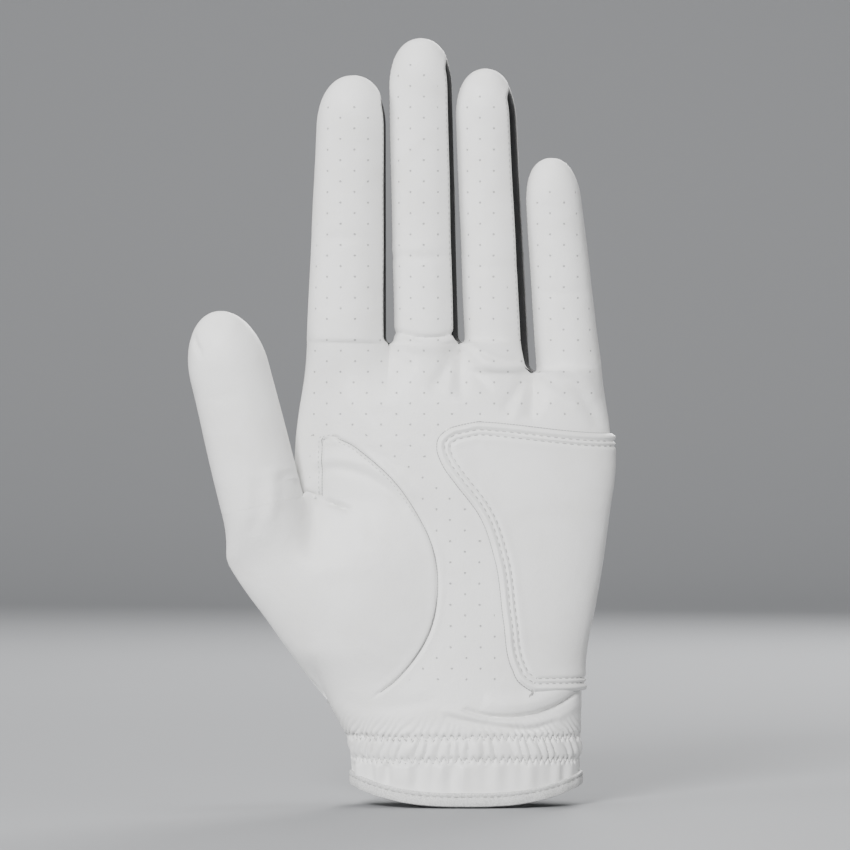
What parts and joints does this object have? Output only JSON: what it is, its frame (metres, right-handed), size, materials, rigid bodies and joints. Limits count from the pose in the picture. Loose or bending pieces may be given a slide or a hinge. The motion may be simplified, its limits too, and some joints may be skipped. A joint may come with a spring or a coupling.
{
  "type": "golf glove",
  "caption": "Left-hand golf glove with a set-in thumb, stretch fourchettes between the fingers, a stitched heel patch, a gathered wrist and a hook-and-loop closure tab.",
  "frame": {"origin": "under the middle of the wrist opening, level with the lowest point of the hem", "axes": "+Z along the fingers, palm towards -Y, thumb towards -X, little finger towards +X"},
  "size_m": [0.1272, 0.047, 0.2251],
  "materials": {
    "leather": "smooth white sheepskin, matt",
    "stretch": "black knitted stretch fabric",
    "binding": "folded white binding",
    "elastic": "woven elastic tape",
    "hook": "hook tape",
    "loop": "brushed loop tape"
  },
  "bodies": {
    "glove": {"back_leather": "leather", "closure_tab_root": "leather", "cuff_leather": "leather", "hem_binding": "binding", "index_base_fold": "leather", "index_middle_web": "stretch", "knuckle_stretch_strip": "stretch", "little_base_fold": "leather", "loop_patch": "loop", "lower_elastic": "elastic", "middle_base_fold": "leather", "middle_ring_web": "stretch", "palm_heel_patch": "leather", "palm_leather": "leather", "ring_base_fold": "leather", "ring_little_web": "stretch", "slit_binding": "binding", "thumb_back_heel_leather": "leather", "thumb_back_lower": "leather", "thumb_fold": "leather", "thumb_front_lower": "leather", "thumb_gore": "leather", "thumb_heel_leather": "leather", "upper_elastic": "elastic"},
    "tab": {"closure_tab": "leather", "hook_patch": "hook"},
    "index_lower": {"index_back_lower": "leather", "index_front_lower": "leather", "index_middle_fold": "leather", "index_right_fourchette_lower": "stretch"},
    "index_upper": {"index_back_upper": "leather", "index_front_upper": "leather", "index_right_fourchette_upper": "stretch"},
    "little_lower": {"little_back_lower": "leather", "little_front_lower": "leather", "little_left_fourchette_lower": "stretch", "little_middle_fold": "leather"},
    "little_upper": {"little_back_upper": "leather", "little_front_upper": "leather", "little_left_fourchette_upper": "stretch"},
    "middle_lower": {"middle_back_lower": "leather", "middle_front_lower": "leather", "middle_left_fourchette_lower": "stretch", "middle_middle_fold": "leather", "middle_right_fourchette_lower": "stretch"},
    "middle_upper": {"middle_back_upper": "leather", "middle_front_upper": "leather", "middle_left_fourchette_upper": "stretch", "middle_right_fourchette_upper": "stretch"},
    "ring_lower": {"ring_back_lower": "leather", "ring_front_lower": "leather", "ring_left_fourchette_lower": "stretch", "ring_middle_fold": "leather", "ring_right_fourchette_lower": "stretch"},
    "ring_upper": {"ring_back_upper": "leather", "ring_front_upper": "leather", "ring_left_fourchette_upper": "stretch", "ring_right_fourchette_upper": "stretch"},
    "thumb_top": {"thumb_back_upper": "leather", "thumb_front_upper": "leather"}
  },
  "joints": [
    {"name": "index_knuckle", "type": "hinge", "parent": "glove", "child": "index_lower", "pos_m": [-0.03481, -0.00005, 0.145], "axis": [0.9997, 0, -0.0233], "range_deg": [0, 60], "deforming": ["index_base_fold"]},
    {"name": "index_middle_joint", "type": "hinge", "parent": "index_lower", "child": "index_upper", "pos_m": [-0.03432, -0.00071, 0.16599], "axis": [0.9997, 0, -0.0233], "range_deg": [0, 80], "deforming": ["index_middle_fold"]},
    {"name": "middle_knuckle", "type": "hinge", "parent": "glove", "child": "middle_lower", "pos_m": [-0.01168, -0.00004, 0.145], "axis": [0.9997, 0, 0.0227], "range_deg": [0, 60], "deforming": ["middle_base_fold"]},
    {"name": "middle_middle_joint", "type": "hinge", "parent": "middle_lower", "child": "middle_upper", "pos_m": [-0.01218, -0.00058, 0.16699], "axis": [0.9997, 0, 0.0227], "range_deg": [0, 80], "deforming": ["middle_middle_fold"]},
    {"name": "ring_knuckle", "type": "hinge", "parent": "glove", "child": "ring_lower", "pos_m": [0.00863, -0.00005, 0.14499], "axis": [0.9989, 0, 0.0467], "range_deg": [0, 60], "deforming": ["ring_base_fold"]},
    {"name": "ring_middle_joint", "type": "hinge", "parent": "ring_lower", "child": "ring_upper", "pos_m": [0.00765, -0.00067, 0.16597], "axis": [0.9989, 0, 0.0467], "range_deg": [0, 80], "deforming": ["ring_middle_fold"]},
    {"name": "little_knuckle", "type": "hinge", "parent": "glove", "child": "little_lower", "pos_m": [0.02956, -0.00005, 0.13597], "axis": [0.9958, 0, 0.0916], "range_deg": [0, 60], "deforming": ["little_base_fold"]},
    {"name": "little_middle_joint", "type": "hinge", "parent": "little_lower", "child": "little_upper", "pos_m": [0.028, -0.00062, 0.1529], "axis": [0.9958, 0, 0.0916], "range_deg": [0, 75], "deforming": ["little_middle_fold"]},
    {"name": "thumb_bend", "type": "hinge", "parent": "glove", "child": "thumb_top", "pos_m": [-0.06322, -0.01021, 0.10218], "axis": [0.9713, 0, 0.2378], "range_deg": [0, 50], "deforming": ["thumb_fold"]},
    {"name": "tab_hinge", "type": "hinge", "parent": "glove", "child": "tab", "pos_m": [-0.024, 0.01772, 0.027], "axis": [0, 0, 1], "range_deg": [0, 120]}
  ]
}
